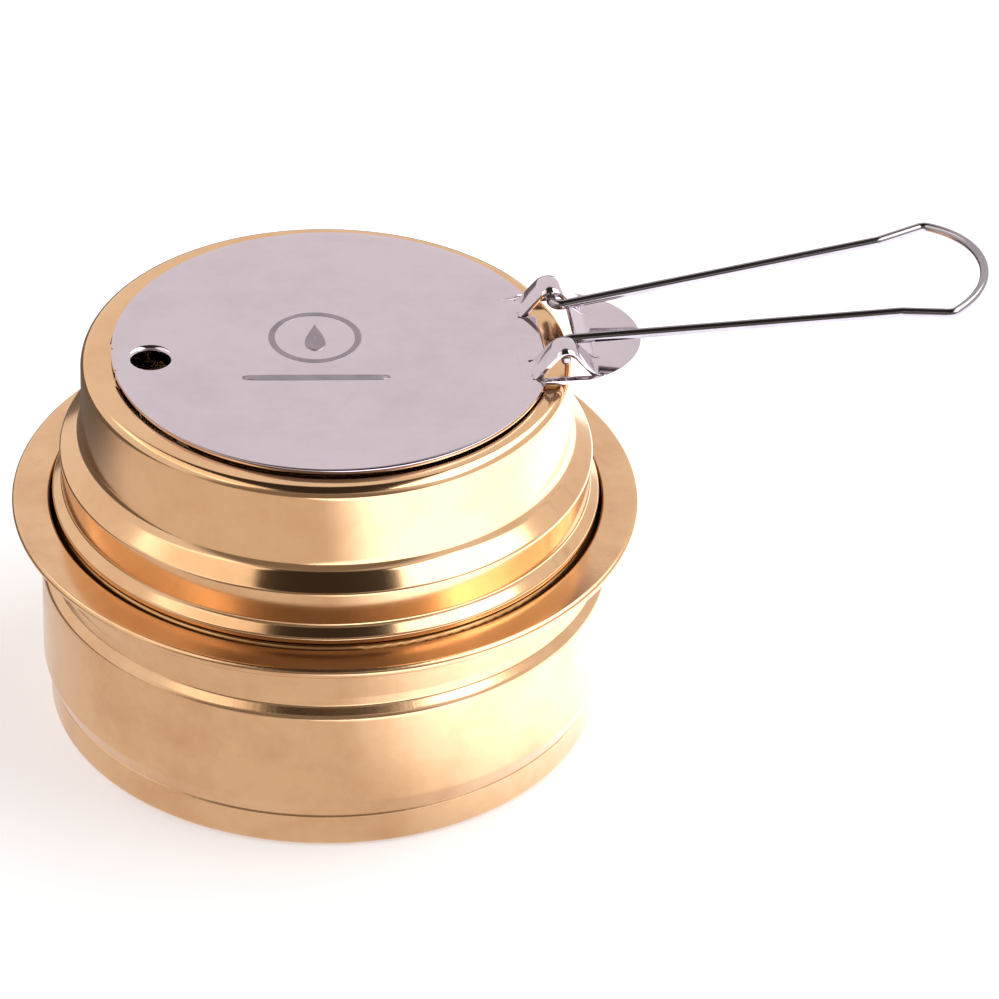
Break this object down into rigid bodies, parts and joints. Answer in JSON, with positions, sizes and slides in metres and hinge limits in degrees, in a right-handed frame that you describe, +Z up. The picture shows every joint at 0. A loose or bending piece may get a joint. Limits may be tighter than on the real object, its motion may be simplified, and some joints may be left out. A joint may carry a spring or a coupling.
{
  "type": "alcohol spirit stove",
  "caption": "Brass spirit burner with hemmed flange, nested flame regulator, swivelling steel lid and folding wire loop handle, screw cap and ring seal inside.",
  "frame": {"origin": "centre of the burner's base, on its resting plane", "axes": "+Z up along the burner's axis; +X towards the handle; +Y to the left of the handle"},
  "size_m": [0.1179, 0.076, 0.0571],
  "materials": {
    "cup_brass": "drawn and polished",
    "crown_brass": "drawn, satin",
    "cap_brass": "turned, satin",
    "regulator_brass": "spun and polished",
    "lid_steel": "polished stainless steel",
    "wire_steel": "bright drawn wire",
    "spring_steel": "bright spring strip",
    "seal_rubber": "moulded matte",
    "wick_cotton": "packed cotton"
  },
  "bodies": {
    "burner": {"fuel_cup": "cup_brass", "burner_crown": "crown_brass", "inner_wall": "crown_brass", "wick": "wick_cotton"},
    "seal": {"cap_seal": "seal_rubber"},
    "cap": {"screw_cap": "cap_brass"},
    "regulator": {"regulator_ring": "regulator_brass"},
    "lid": {"lid_plate": "lid_steel", "wave_washer": "spring_steel"},
    "handle": {"wire_handle": "wire_steel"}
  },
  "joints": [
    {"name": "cap_lift", "type": "slide", "parent": "burner", "child": "seal", "axis": [0, 0, 1], "range_m": [0, 0.0045]},
    {"name": "cap_turn", "type": "hinge", "parent": "seal", "child": "cap", "pos_m": [0, 0, 0.037], "axis": [0, 0, 1], "range_deg": [0, 900]},
    {"name": "regulator_lift", "type": "slide", "parent": "burner", "child": "regulator", "axis": [0, 0, 1], "range_m": [0, 0.04]},
    {"name": "lid_swivel", "type": "hinge", "parent": "regulator", "child": "lid", "pos_m": [-0.02115, 0, 0.0483], "axis": [0, 0, 1], "range_deg": [-110, 110]},
    {"name": "handle_fold", "type": "hinge", "parent": "lid", "child": "handle", "pos_m": [0.0277, 0, 0.0511], "axis": [0, -1, 0], "range_deg": [0, 174]}
  ],
  "couplings": [
    {"joint": "cap_lift", "follows": "cap_turn", "m_per_rad": 0.00028648}
  ]
}
